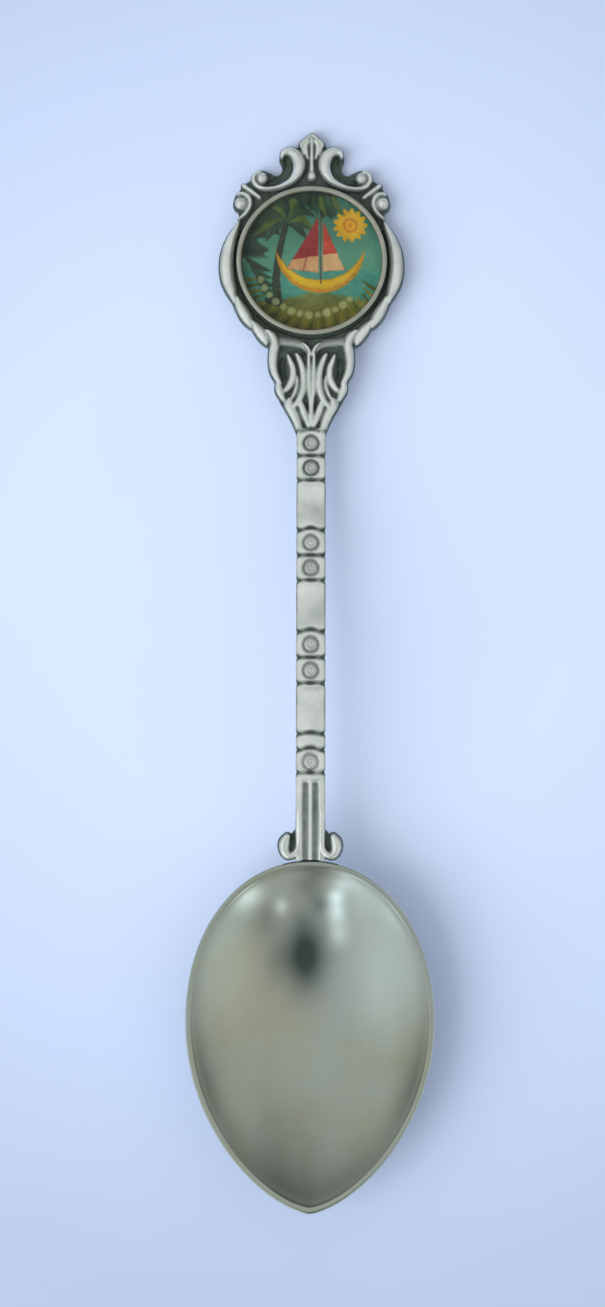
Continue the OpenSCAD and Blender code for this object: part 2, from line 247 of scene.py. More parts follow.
# Raised strokes of the right half: top height, then [x, s, half width] along the middle line.
RIDGES = {
    "finial_rim": (1.75, [
        [0.05, 13.2, .16], [0.55, 12.75, .24], [1.12, 12.15, .28], [1.0, 11.65, .2],
        [0.8, 11.1, .1]]),
    "finial_lobe": (1.8, [
        [0.4, 12.5, .24], [0.68, 12.0, .3], [0.6, 11.35, .26], [0.45, 10.7, .14]]),
    "finial_spine": (1.85, [[0, 12.8, .12], [0, 11.6, .2], [0, 10.4, .22], [0, 9.5, .26]]),
    "finial_drop": (2.0, [[0, 9.0, .42], [0, 8.75, .47]]),
    "scroll": (2.1, [
        [3.22, 10.75, .22], [2.95, 11.25, .38], [2.3, 11.35, .52], [1.68, 10.95, .62],
        [1.38, 10.15, .66], [1.5, 9.25, .56], [2.05, 8.4, .44], [2.95, 7.85, .34],
        [3.95, 7.55, .28], [4.95, 7.5, .27], [5.8, 7.75, .27], [6.25, 8.35, .26],
        [6.08, 9.0, .24], [5.5, 9.28, .2]]),
    "bead_upper": (2.15, [[5.3, 8.6, .6], [5.32, 8.55, .6]]),
    "rib": (1.85, [[7.3, 7.85, .26], [6.3, 7.15, .27], [5.55, 6.6, .22]]),
    "curl": (1.95, [
        [7.75, 4.4, .16], [7.3, 4.75, .24], [6.85, 5.25, .27], [6.58, 5.9, .27], [6.75, 6.6, .27],
        [7.3, 7.0, .25], [7.85, 6.95, .2]]),
    "bead_lower": (2.15, [[7.58, 6.0, .68], [7.6, 5.95, .68]]),
    "leaf_1": (2.0, [
        [7.75, 4.1, .14], [8.12, 3.3, .34], [8.58, 2.35, .5], [8.96, 1.05, .64], [9.1, -.4, .7],
        [8.97, -1.8, .68], [8.6, -3.0, .56], [8.2, -4.2, .28]]),
    "leaf_2": (1.95, [
        [7.95, -3.8, .22], [7.62, -4.75, .5], [7.22, -5.48, .58], [6.8, -6.2, .52],
        [6.45, -6.9, .24]]),
    "leaf_3": (1.9, [
        [6.35, -6.35, .22], [5.92, -6.92, .46], [5.42, -7.55, .56], [5.0, -8.25, .46],
        [4.78, -8.8, .2]]),
    "horn": (2.0, [
        [4.75, -7.3, .16], [4.15, -7.9, .42], [3.9, -8.8, .5], [4.05, -9.75, .5],
        [4.12, -10.8, .46], [3.97, -11.75, .42], [3.65, -12.45, .34], [3.3, -12.95, .2]]),
    "heart": (1.52, [
        [3.9, -8.3, .42], [3.1, -8.7, .6], [2.3, -8.9, .68], [1.5, -9.0, .66], [0.8, -9.2, .5],
        [0.35, -9.55, .32], [0.0, -10.0, .16]]),
    "heart_edge": (1.9, [
        [0.95, -8.65, .1], [0.55, -9.0, .22], [0.27, -9.45, .22], [0.1, -9.9, .12]]),
    "fan_outer": (1.95, [
        [2.5, -9.95, .16], [2.3, -10.5, .28], [1.98, -11.4, .36], [2.0, -12.4, .38],
        [2.35, -13.2, .36], [2.72, -13.7, .26]]),
    "fan_middle": (1.95, [
        [1.6, -9.8, .2], [1.3, -10.4, .3], [0.98, -11.3, .35], [0.82, -12.3, .37],
        [0.82, -13.3, .38], [1.05, -14.2, .36], [1.4, -14.9, .34], [1.85, -15.4, .26]]),
    "fan_inner": (1.9, [
        [0.3, -9.85, .18], [0.27, -11, .23], [0.25, -12.2, .25], [0.22, -13.4, .26],
        [0.18, -14.4, .25], [0.08, -15.4, .24], [0, -16.3, .38], [0, -17.3, .3]]),
    "leaflet": (1.75, [[1.5, -12.2, .1], [1.5, -13, .2], [1.75, -13.9, .24], [2.1, -14.6, .2]]),
    "lobe_upper": (1.9, [
        [3.5, -12.8, .25], [3.45, -13.5, .42], [3.2, -14.2, .38], [2.9, -14.7, .2]]),
    "lobe_lower": (1.85, [
        [2.3, -14.7, .3], [2.35, -15.3, .5], [2.0, -16.0, .5], [1.62, -16.8, .46],
        [1.35, -17.6, .4], [1.2, -18.2, .34]]),
    "vee": (1.9, [[1.15, -15.0, .3], [0.88, -15.8, .38], [0.58, -16.6, .36], [0.2, -17.5, .3]]),
}

# Hollows of the right half: depth, then [x, s, half width].
HOLLOWS = {
    "scroll_web": (0.35, [
        [2.75, 10.7, .3], [2.5, 9.9, .55], [3.0, 9.1, .6], [3.9, 8.4, .42], [4.7, 8.1, .25]]),
    "oval": (0.4, [[3.05, -10.4, .3], [3.1, -11.4, .42], [2.95, -12.3, .3]]),
    "heart_bowl": (0.3, [
        [3.1, -9.15, .35], [2.2, -9.3, .5], [1.3, -9.45, .45], [0.75, -9.85, .25]]),
    "slit": (0.22, [[0.37, -14.4, .08], [0.4, -15.3, .15], [0.28, -16.2, .08]]),
}

CREST_SHINE = 1.85
WIDEN = 1.25  # all raised strokes are this much wider than drawn
ROUNDING = 0.72  # power of a raised stroke's section: 0.5 is a half circle
FAR = 9.0  # a distance from which a stroke has no effect
OUTSIDE = -3.0  # plan distance of the empty lattice


class Relief:
    """Height map and plan of the handle over x >= 0 on a square lattice."""

    def __init__(self, pitch, x1, s0, s1):
        self.pitch = pitch
        self.j0 = round(s0 / pitch)
        self.x = pitch * np.arange(round(x1 / pitch) + 1)
        self.s = pitch * np.arange(self.j0, round(s1 / pitch) + 1)
        self.X, self.S = np.meshgrid(self.x, self.s, indexing="ij")
        self.height = np.zeros(self.X.shape)
        # distance inside the outline, level above which the metal is rubbed bright, and patina
        # that was left in engraved lines
        self.plan = np.full(self.X.shape, OUTSIDE)
        self.shine = np.full(self.X.shape, CREST_SHINE)
        self.stain = np.zeros(self.X.shape)

    def full_x(self):
        """The lattice's x on both sides of the middle line."""
        return np.concatenate([-self.x[:0:-1], self.x])

    def window(self, pts, pad):
        """The part of the lattice within pad of some points."""
        low = pts[:, :2].min(0) - pad
        high = pts[:, :2].max(0) + pad
        i = np.searchsorted(self.x, [low[0], high[0]])
        j = np.searchsorted(self.s, [low[1], high[1]])
        return np.s_[i[0]:i[1] + 1, j[0]:j[1] + 1]

    def stroke(self, pts):
        """How lattice points lie to a stroke: share of its half width from the middle line,
        distance to its edge, and the window that both cover."""
        c = spline(pts, 5)
        w = self.window(c, c[:, 2].max() + 0.3)
        X, S = self.X[w], self.S[w]
        gap = np.full(X.shape, FAR)
        share = np.full(X.shape, FAR)
        for a, b in zip(c, c[1:]):
            u, q = to_segment(X, S, a, b)
            r = a[2] + u * (b[2] - a[2])
            nearer = q - r < gap
            gap[nearer] = (q - r)[nearer]
            share[nearer] = (q / r)[nearer]
        return share, gap, w

    def raise_stroke(self, pts, top, ground=RECESS_Z, blend=0.05):
        """Adds a rounded ridge that stands on the ground and reaches the top."""
        pts = np.array(pts, float)
        pts[:, 2] *= WIDEN
        share, gap, w = self.stroke(pts)
        h = ground + (top - ground) * unit(1 - share**2) ** ROUNDING
        higher = (share < 1) & (h > self.height[w])
        self.shine[w] = np.where(higher, max(top, CREST_SHINE), self.shine[w])
        self.height[w] = smooth_max(self.height[w], np.where(share < 1, h, 0), blend)
        self.plan[w] = np.maximum(self.plan[w], -gap)

    def sink_stroke(self, pts, depth):
        """Cuts a rounded hollow."""
        share, _, w = self.stroke(pts)
        self.height[w] -= depth * unit(1 - share**2)

    def add_outline(self, edge, s_low):
        """Distance to the outline of the crest, which closes below s_low on the stem."""
        half = spline(fit(edge), 5)
        inside = np.zeros(self.X.shape, bool)
        gap = np.full(self.X.shape, FAR)
        for a, b in zip(half, half[1:]):
            d = b - a
            gap = np.minimum(gap, to_segment(self.X, self.S, a, b)[1])
            crosses = (a[1] > self.S) != (b[1] > self.S)
            inside ^= crosses & (self.X < a[0] + (self.S - a[1]) / (d[1] or 1e-9) * d[0])
        crest = np.where(inside, gap, -gap)
        self.plan = np.where(self.S > s_low, np.maximum(self.plan, crest), self.plan)


def crest_relief(r):
    """Ground, strokes and hollows of the crest, with the flat round seat cut through them."""
    crest_low = NECK_S - 0.5
    r.add_outline(CREST_EDGE, crest_low)
    r.height[r.S > crest_low] = RECESS_Z
    for top, pts in RIDGES.values():
        r.raise_stroke(fit(pts), top)
    for depth, pts in HOLLOWS.values():
        r.sink_stroke(fit(pts), depth)
    seat = np.hypot(r.X, r.S)
    r.height = np.where(seat < SEAT_R, SEAT_Z, r.height)


BAND_PITCH = 10.75  # from one group of two rosettes to the next
CELL = 2.68  # length of a rosette's cell
LAST_GROUP = NECK_Y - 3 * BAND_PITCH + 0.2
FLUTE_TOP = LAST_GROUP - 4.75
FLUTE_X, FLUTE_HALF, FLUTE_DEPTH, FLUTE_STAIN = 0.52, 0.4, 0.3, 0.27
PANEL_DISH = 0.41  # the plain panels are slightly hollow along the stem
CROWN = 0.14  # the stem's middle is this much higher than its edges
BAND_DEPTH, BAND_STAIN, BAND_ARCH = 0.3, 0.85, 0.24
BAND_NOTCH = 0.09  # depth of a band in the stem's outline


def band_lines():
    """Y of each engraved band, how far its middle arches towards the crest, and its patina."""
    for group in range(3):
        top = NECK_Y - group * BAND_PITCH
        yield from ((top, 1, 1), (top - CELL, 0, 1), (top - 2 * CELL, 0.1, 1))
    yield from ((LAST_GROUP, 0.6, 1), (LAST_GROUP - 1.65, 1, 1), (LAST_GROUP - 3.95, 0, 0.6))


def rosettes():
    """Y of each engraved rosette and how much patina is left in it."""
    for group, patina in enumerate((1, 0.7, 0.7)):
        top = NECK_Y - group * BAND_PITCH
        yield from ((top - 0.5 * CELL, patina), (top - 1.5 * CELL, patina))
    yield LAST_GROUP - 2.85, 0.5


def gauss(distance, width):
    """1 at a distance of 0, and 1/e at the width."""
    return np.exp(-(distance / width) ** 2)


def stem_crown(x, s):
    """Height of the plain stem: crowned across, and hollow along each panel."""
    crown = STEM_T - CROWN * (x / STEM_HALF) ** 2
    panel_l = BAND_PITCH - 2 * CELL
    for group in range(3):
        low = station(NECK_Y - group * BAND_PITCH - 2 * CELL)
        u = unit((low - s) / panel_l)
        crown = crown - PANEL_DISH * 6.75 * u * (1 - u) ** 2
    return crown


def cut_bands(r, crown, plan):
    """Engraved bands across the stem, which notch its outline."""
    x, s = r.X, r.S
    for y, arch, patina in band_lines():
        middle = station(y) + BAND_ARCH * arch * unit(1 - (x / 0.95) ** 2)
        dark = 0.78 + 0.22 * np.cos(unit(x / STEM_HALF) * 2 * math.pi)
        crown = crown - BAND_DEPTH * dark * gauss(s - middle, 0.18)
        line = gauss(s - middle, 0.23 + 0.1 * (x / STEM_HALF) ** 2)
        r.stain = r.stain + np.where(x < STEM_HALF, BAND_STAIN * patina * dark * line, 0)
        plan = plan - BAND_NOTCH * gauss(s - station(y), 0.22)
    return crown, plan


def cut_rosettes(r, crown):
    """Two engraved rings for each rosette."""
    for y, patina in rosettes():
        q = np.hypot(r.X, r.S - station(y))
        ring = 0.34 * gauss(q - 0.8, 0.17) + 0.4 * gauss(q - 0.42, 0.09)
        disc = 0.17 * (1 - step(0.85, 1.1, q))
        r.stain = r.stain + patina * (ring + disc + 0.35 * gauss(q, 0.1))
        crown = crown - 0.2 * gauss(q - 0.76, 0.18) - 0.12 * gauss(q - 0.27, 0.08)
    return crown


def stem_relief(r):
    """Crowned bar with engraved bands, rosettes and flutes."""
    x, s = r.X, r.S
    stem = s < NECK_S + 0.3
    crown = stem_crown(x, s)
    r.shine = np.where(stem & (x < STEM_HALF), crown, r.shine)
    crown, plan = cut_bands(r, crown, STEM_HALF - x)
    crown = cut_rosettes(r, crown)
    flute_end = unit((station(FLUTE_TOP) - s) / 0.3)
    flute = flute_end * unit(1 - ((x - FLUTE_X) / FLUTE_HALF) ** 4)
    crown = crown - FLUTE_DEPTH * flute
    r.stain = r.stain + FLUTE_STAIN * flute
    foot = station(FOOT_Y)
    plan = np.where(s > foot - 0.9, plan, OUTSIDE)
    r.plan = np.where(stem, np.maximum(plan, r.plan), r.plan)
    side = STEM_HALF + np.where(s < foot + VOLUTE_L, 0.02, 0.5)
    r.height = np.where(stem, np.maximum(np.where(x < side, crown, 0), r.height), r.height)


VOLUTE_L = 4.2  # length of the foot on which the volutes stand out
VOLUTE_GROUND = 1.1


def foot_relief(r):
    """Volutes in which the outer ridges of the flutes end."""
    f = station(FOOT_Y)
    web = [[1.35, f + 3.2, .2], [1.7, f + 2.5, .4], [2.0, f + 1.75, .6], [2.1, f + 1.05, .7]]
    _, gap, w = r.stroke(web)
    r.plan[w] = np.maximum(r.plan[w], -gap)
    r.height = np.where((r.S < f + VOLUTE_L) & (r.X > 1.45), VOLUTE_GROUND, r.height)
    arm = [[1.14, f + 5.2, .34], [1.14, f + 3.2, .34], [1.16, f + 1.95, .33], [1.36, f + 1.05, .34],
           [1.85, f + 0.52, .38], [2.42, f + 0.5, .46], [2.74, f + 1.1, .54], [2.72, f + 1.85, .56],
           [2.42, f + 2.5, .36]]
    r.raise_stroke(arm, STEM_T + 0.05, ground=VOLUTE_GROUND)


def bowl_size(x, y):
    """Relative size of the bowl's ring through a point near the heel, 1 at the outline."""
    size = np.ones(np.broadcast(x, y).shape)
    for _ in range(12):
        length = MEAN_L + (HEEL_L - MEAN_L) * size**2
        p = 2 + SQUARENESS * size**2
        size = (np.abs(x / BOWL_HALF_W) ** p + np.abs((y - WIDEST_Y) / length) ** p) ** (1 / p)
    return size


def outside_bowl(x, y, z):
    """Distance from the bowl's outside near the heel, positive away from the bowl."""
    size = bowl_size(x, y)
    low = (RIM_Z - RIM_T) * size**2 + RIM_SHEER * ((y - WIDEST_Y) / TIP_L) ** 2
    gy = np.gradient(low, axis=1) / np.gradient(y, axis=1)
    below = (low - z) / np.sqrt(1 + gy**2)
    return np.maximum(below, (size - 1) * HEEL_L)


def tongue(x, y, z, gap):
    """Rat-tail under the bowl, as a distance that is positive inside."""
    u = unit((HEEL_Y + 1 - y) / (TONGUE_L + 1))
    half = 1.45 - 0.95 * u
    thick = 0.95 - 0.45 * u
    dome = thick * np.sqrt(np.clip(1 - (x / (half * 1.15)) ** 2, 0.02, 1))
    plan = np.minimum(half - np.abs(x), y - HEEL_Y + TONGUE_L)
    shape = smooth_min(smooth_min(plan, dome - gap, 0.3), HEEL_Y + 1 - y, 0.2)
    return smooth_min(shape, RIM_Z - 1.1 - z, 0.3)


def join_bowl(field, x, s, w):
    """Ends the stem in an arc, adds the tongue and keeps both clear of the bowl."""
    x, y, z = np.broadcast_arrays(x, along(s), back_height(s) + w)
    gap = outside_bowl(x, y, z)
    arc = np.hypot(x, y - FOOT_Y + FOOT_ARC) - FOOT_ARC
    field = smooth_min(field, arc, 0.1)
    field = smooth_max(field, tongue(x, y, z, gap), 0.5)
    return np.minimum(field, gap - SOLDER_T)


STEM_REACH = 4.2  # half width of the blocks that hold the stem and the foot
TONGUE_W = -4.5  # lowest w of the tongue
HIGHEST_W = 2.5


def handle_field(r, height):
    """The handle as a sparse grid, negative inside, over x, s and the height w above the back."""
    p = r.pitch
    plan = mirrored(r.plan)
    x = r.full_x()
    gx, gs = np.gradient(height, p)
    slope = np.sqrt(1 + gx**2 + gs**2)
    reach = 3 * p
    grid = openvdb.FloatGrid(reach)
    back_w, foot_s = -4 * p, station(-16.0)
    crest = (NECK_S, r.s[-1], x[-1], back_w)
    stem = (foot_s, NECK_S, STEM_REACH, back_w)
    foot = (r.s[0], foot_s, STEM_REACH, TONGUE_W)
    for s_low, s_high, x_max, w_low in (crest, stem, foot):
        js = np.flatnonzero((r.s >= s_low - p / 2) & (r.s < s_high - p / 2))
        ix = np.flatnonzero(np.abs(x) <= x_max)
        kw = np.arange(round(w_low / p), round(HIGHEST_W / p) + 1)
        block = np.ix_(ix, js)
        w = (kw * p)[None, None, :]
        s3 = r.s[js][None, :, None]
        x3 = x[ix][:, None, None]
        top = (height[block][..., None] - w) / slope[block][..., None]
        back = np.minimum(w, w + back_height(s3))
        field = smooth_min(smooth_min(plan[block][..., None], top, 0.14), back, 0.16)
        if w_low == TONGUE_W:
            field = join_bowl(field, x3, s3, w)
        phi = np.clip(-field, -reach, reach).astype(np.float32)
        corner = (int(round(x[ix[0]] / p)), int(r.j0 + js[0]), int(kw[0]))
        grid.copyFromArray(np.ascontiguousarray(phi), ijk=corner)
    return grid


def patina_and_edge_shade(r, height, x, s, w):
    """Patina at points of the surface: it stays where they are lower than their surroundings.
    Painted shade is added along the outline and beside the cup.
    """
    plan = mirrored(r.plan)
    # the cup counts as a wall, so the ground beside it darkens: partly patina in that crevice,
    # partly painted shade of the cup
    seat = np.hypot(r.full_x()[:, None], r.s[None, :]) < SEAT_R
    around = np.where(seat, 1.9, height)
    # outside the outline counts as raised ground, so the edges darken: painted shade
    shade_level_outside = np.where(r.s > NECK_S, 1.5, STEM_T - 0.1)
    around = np.where(plan < 0, shade_level_outside, around)
    near = blurred(around, round(0.05 / r.pitch**2) + 1)
    shine = blurred(mirrored(r.shine), 2)
    stain = mirrored(r.stain)
    i = np.clip(np.round((x + r.x[-1]) / r.pitch).astype(int), 0, height.shape[0] - 1)
    j = np.clip(np.round(s / r.pitch).astype(int) - r.j0, 0, height.shape[1] - 1)
    reach = np.where(s < NECK_S, np.where(s < station(FLUTE_TOP), 0.6, 0.45), 0.64)
    fall = np.clip((shine[i, j] - w) / reach, 0, 1.2)
    # a dark line painted along the outline: painted shade of the rounded edges
    edge = np.where(s < NECK_S, 0.25, 0.5) * (1 - step(0.02, 0.34, plan[i, j]))
    depth = fall + 0.7 * (near[i, j] - w) + stain[i, j] + edge
    # the sides are half dark, and the back is nearly clean
    depth = np.minimum(depth, 0.5 + 0.5 * step(0.45, 0.8, w))
    return unit(np.where(w < 0.12, 0.2, depth))


def bend(x, s, w):
    """Points of the straight bar, bent along the arch with its thickness square to it."""
    ds = 0.05
    rise = (back_height(s + ds) - back_height(s - ds)) / (2 * ds)
    square = step(station(-17.0), station(-12.0), s)
    y = along(s) - w * rise * square
    z = back_height(s) + w
    return np.stack([x, y, np.maximum(z, 0)], -1)


def build_handle(material):
    """The casting: relief, then distance field, then mesh, bent along the arch."""
    r = Relief(HANDLE_PITCH, 10.8, station(HEEL_Y - TONGUE_L - 0.8), 14.2)
    crest_relief(r)
    foot_relief(r)
    stem_relief(r)
    height = blurred(mirrored(r.height), 1)
    points, tris, quads = handle_field(r, height).convertToPolygons(0.0, 0.0)
    x, s, w = (points * HANDLE_PITCH).T
    faces = [f[::-1] for f in list(quads) + list(tris)]
    obj = new_piece("silver_handle", bend(x, s, w), faces, material, "handle")
    # the stored patina also carries painted shade along the outline and beside the cup
    store(obj, "patina", patina_and_edge_shade(r, height, x, s, w))


# ---- the bowl
def bowl_point(angle, margin, size):
    """Outline point, from -90 degrees at the tip to 90 at the heel, for one ring."""
    c, t = np.cos(angle), np.sin(angle)
    half = BOWL_HALF_W - margin
    heel = MEAN_L + (HEEL_L - MEAN_L) * size**2 - margin
    tip = MEAN_L + (TIP_L - MEAN_L) * size**2 - 1.3 * margin
    p = 2 + SQUARENESS * size**2
    up = unit(t)
    x_heel = (1 - up**p) ** (1 / p)
    x_tip = unit(c) ** (1 + 0.33 * size**2)
    x = size * half * np.where(t >= 0, x_heel, x_tip)
    y = size * np.where(t >= 0, heel, tip) * t
    return x, y


def build_bowl(material):
    """Rings from the middle of the back, round the rim and down to the middle of the hollow."""
    half_turn = np.linspace(-math.pi / 2, math.pi / 2, BOWL_AROUND // 2 + 1)
    rings = []
    rim_dark_reflections = []

    def ring(margin, size, z, inside=False):
        x, y = bowl_point(half_turn, margin, size)
        # a dark band painted just inside the rim, strongest towards the tip: a painted dark
        # reflection of the steep wall
        low = step(0.45, -0.7, y / TIP_L)
        share = inside * (0.55 + 0.45 * low) * gauss(1 - size, 0.045 + 0.1 * low)
        rim_dark_reflections.append(np.concatenate([share, share[-2:0:-1]]))
        z = z + RIM_SHEER * (y / TIP_L) ** 2
        right = np.stack([x, y + WIDEST_Y, z], -1)
        left = right[-2:0:-1] * [-1, 1, 1]
        rings.append(np.vstack([right, left]))

    sizes = np.linspace(0.004, 1, BOWL_RINGS)
    for size in sizes[:-1]:
        ring(0.0, size, (RIM_Z - RIM_T) * size**2)
    edge_r = RIM_T / 2
    for a in np.radians(np.linspace(-70, 90, 12)):
        ring(edge_r * (1 - math.cos(a)), 1.0, RIM_Z - edge_r + edge_r * math.sin(a))
    for m in np.linspace(edge_r, RIM_LAND, 8)[1:-1]:
        ring(m, 1.0, RIM_Z - 0.03 * ((m - edge_r) / RIM_LAND) ** 2)
    for size in sizes[::-1]:
        lip = 0.06 * gauss(1 - size, 0.02)
        ring(RIM_LAND, size, RIM_Z - HOLLOW * (1 - size**2) - lip, inside=True)
    verts = np.vstack(rings)
    n = len(rings[0])
    quads = grid_faces(len(rings), n, wrap=True)
    last = len(verts) - n
    caps = [range(n - 1, -1, -1), range(last, last + n)]
    bowl = new_piece("silver_bowl", verts, list(quads) + caps, material, "bowl")
    # the stored band is a painted dark reflection inside the rim
    store(bowl, "rim_dark_reflection", np.concatenate(rim_dark_reflections))


# ---- the medallion
def lathe(name, profile, around, material, node):
    """A turned piece in the crest's frame. The profile starts and ends on the axis."""
    profile = np.array(profile, float)
    turn = np.linspace(0, 2 * math.pi, around, endpoint=False)
    body = profile[1:-1]
    rings = np.stack([body[:, :1] * np.cos(turn), body[:, :1] * np.sin(turn),
                      np.repeat(body[:, 1:], around, 1)], -1).reshape(-1, 3)
    verts = np.vstack([rings, [0, 0, profile[0, 1]], [0, 0, profile[-1, 1]]])
    faces = list(grid_faces(len(body), around, wrap=True))
    low, high = len(rings), len(rings) + 1
    last = (len(body) - 1) * around
    faces += [[(k + 1) % around, k, low] for k in range(around)]
    faces += [[last + k, last + (k + 1) % around, high] for k in range(around)]
    return new_piece(name, crest_to_world(verts), faces, material, node)


GLUE_T, CUP_T, LIP_R, LIP_H = 0.08, 0.25, 0.25, 1.4
PICTURE_T, DOME_RISE = 0.15, 0.35
CUP_R = 7.75
INSIDE_R = CUP_R - CUP_T
CUP_Z = SEAT_Z + GLUE_T
PICTURE_Z = CUP_Z + CUP_T
DOME_Z = PICTURE_Z + PICTURE_T
DOME_R = INSIDE_R - 0.04


def build_cup(material):
    """Pressed cup whose rim is rolled into a bead."""
    lip_z = CUP_Z + LIP_H
    bead = [[CUP_R + LIP_R * math.cos(a), lip_z + LIP_R * math.sin(a)]
            for a in np.linspace(math.radians(-75), math.radians(255), 26)]
    outer = [[CUP_R - 0.15, CUP_Z], [CUP_R - 0.04, CUP_Z + 0.04], [CUP_R, CUP_Z + 0.15],
             [CUP_R, CUP_Z + 0.6], [CUP_R, lip_z - 0.3]]
    floor = CUP_Z + CUP_T
    inner = [[INSIDE_R, lip_z - 0.3], [INSIDE_R, CUP_Z + 0.6], [INSIDE_R, floor + 0.02],
             [INSIDE_R - 0.02, floor]]
    profile = [[0, CUP_Z], [4, CUP_Z]] + outer + bead + inner + [[4, floor], [0, floor]]
    lathe("medallion_ring", profile, 256, material, "medallion_cup")


def build_dome(material):
    """Domed resin. It casts no shadow, so the print below it stays light."""
    edge = CUP_Z + LIP_H - 0.1
    arc = [[DOME_R * math.sin(a), edge + DOME_RISE * math.cos(a) ** 2]
           for a in np.linspace(math.pi / 2, 0, 24)]
    low = DOME_Z + 0.02
    profile = [[0, low], [DOME_R * 0.5, low], [DOME_R - 0.01, low], [DOME_R, low + 0.01]] + arc
    dome = lathe("resin_dome", profile, 192, material, "clear_dome")
    dome.visible_shadow = False


def cloudy(x, y, cell, seed):
    """Smooth random field between -1 and 1, with patches about one cell across."""
    dice = np.random.default_rng(seed).uniform(-1, 1, (64, 64))
    u, v = x / cell + 32, y / cell + 32
    i, j = np.floor(u).astype(int), np.floor(v).astype(int)
    fu, fv = u - i, v - j
    fu, fv = fu * fu * (3 - 2 * fu), fv * fv * (3 - 2 * fv)
    corner = [[dice[(i + a) % 64, (j + b) % 64] for b in (0, 1)] for a in (0, 1)]
    low = corner[0][0] * (1 - fv) + corner[0][1] * fv
    high = corner[1][0] * (1 - fv) + corner[1][1] * fv
    return low * (1 - fu) + high * fu


class Painting:
    """Colours laid over each other at a set of points. sRGB, 0 to 255; lengths in mm."""

    def __init__(self, x, y):
        self.x = x + 0.05 * cloudy(x, y, 0.5, 1)
        self.y = y + 0.05 * cloudy(x, y, 0.5, 2)
        self.brush = 0.6 * cloudy(x, y, 0.9, 3) + 0.4 * cloudy(x, y, 0.25, 4)
        self.colour = np.zeros(x.shape + (3,))

    def lay(self, cover, rgb, vary=14):
        """Lays a colour where cover is 1, varied by the brush."""
        m = unit(cover)[..., None]
        tone = np.array(rgb, float) + vary * self.brush[..., None]
        self.colour = self.colour * (1 - m) + tone * m

    def fill(self, distance, rgb, soft=0.12, vary=14, share=1):
        """Fills a shape, given as a distance that is negative inside it."""
        self.lay(share * unit(0.5 - distance / soft), rgb, vary)

    def disc(self, cx, cy, radius):
        return np.hypot(self.x - cx, self.y - cy) - radius

    def stroke(self, points):
        """Distance to a stroke through points of x, y and half width."""
        c = spline(points, 8)
        best = np.full(self.x.shape, 99.0)
        for a, b in zip(c, c[1:]):
            u, q = to_segment(self.x, self.y, a, b)
            best = np.minimum(best, q - (a[2] + u * (b[2] - a[2])))
        return best

    def polygon(self, corners):
        """Distance to a convex polygon given clockwise."""
        out = np.full(self.x.shape, -99.0)
        for a, b in zip(corners, corners[1:] + corners[:1]):
            nx, ny = a[1] - b[1], b[0] - a[0]
            side = ((self.x - a[0]) * nx + (self.y - a[1]) * ny) / math.hypot(nx, ny)
            out = np.maximum(out, side)
        return out


def paint_sea_and_land(p):
    """Sky, sea with a few crests, and a grassy shore."""
    x, y = p.x, p.y
    p.lay(np.ones(x.shape), (98, 156, 134), 10)
    p.lay(unit((y - 0.5) / 5), (58, 112, 98), 10)
    waves = 0.12 * np.sin(3.1 * x + 0.6 * np.sin(2 * y)) + 0.05 * np.sin(7 * x)
    p.fill(y + 1.0 + waves, (78, 150, 136))
    for k, level in enumerate((-1.4, -1.9, -2.5, -3.1)):
        crest = gauss(y - level - waves, 0.09)
        p.lay(0.5 * crest * unit(1.5 * np.sin(4 * x + 2 * k)), (130, 180, 158))
    shore = y + 3.9 - 0.5 * np.cos(0.5 * (x - 1)) + 0.5 * waves
    p.fill(shore, (108, 114, 54), 0.5, 26)
    p.fill(shore + 1.3, (116, 112, 52), 0.9, 24)
    for k in range(26):
        a = math.radians(196 + 5.6 * k)
        reach = 6.0 + 0.35 * math.sin(5 * k)
        blade = [[7.3 * math.cos(a), 7.3 * math.sin(a), .22],
                 [reach * math.cos(a + 0.05), reach * math.sin(a + 0.05), .05]]
        p.fill(p.stroke(blade), (84, 92, 34) if k % 2 else (132, 126, 52))


def paint_sun(p):
    """A sun with a wavy edge."""
    sx, sy = 4.1, 3.9
    turn = np.arctan2(p.y - sy, p.x - sx)
    p.fill(p.disc(sx, sy, 1.65) - 0.2 * np.cos(13 * turn), (214, 168, 22), 0.16, 20)
    p.fill(p.disc(sx, sy, 1.2), (222, 182, 34), 0.3)
    p.fill(np.abs(p.disc(sx, sy, 0.66)) - 0.12, (204, 128, 20), 0.2)
    p.fill(p.disc(sx, sy, 0.25), (222, 142, 30), 0.2)


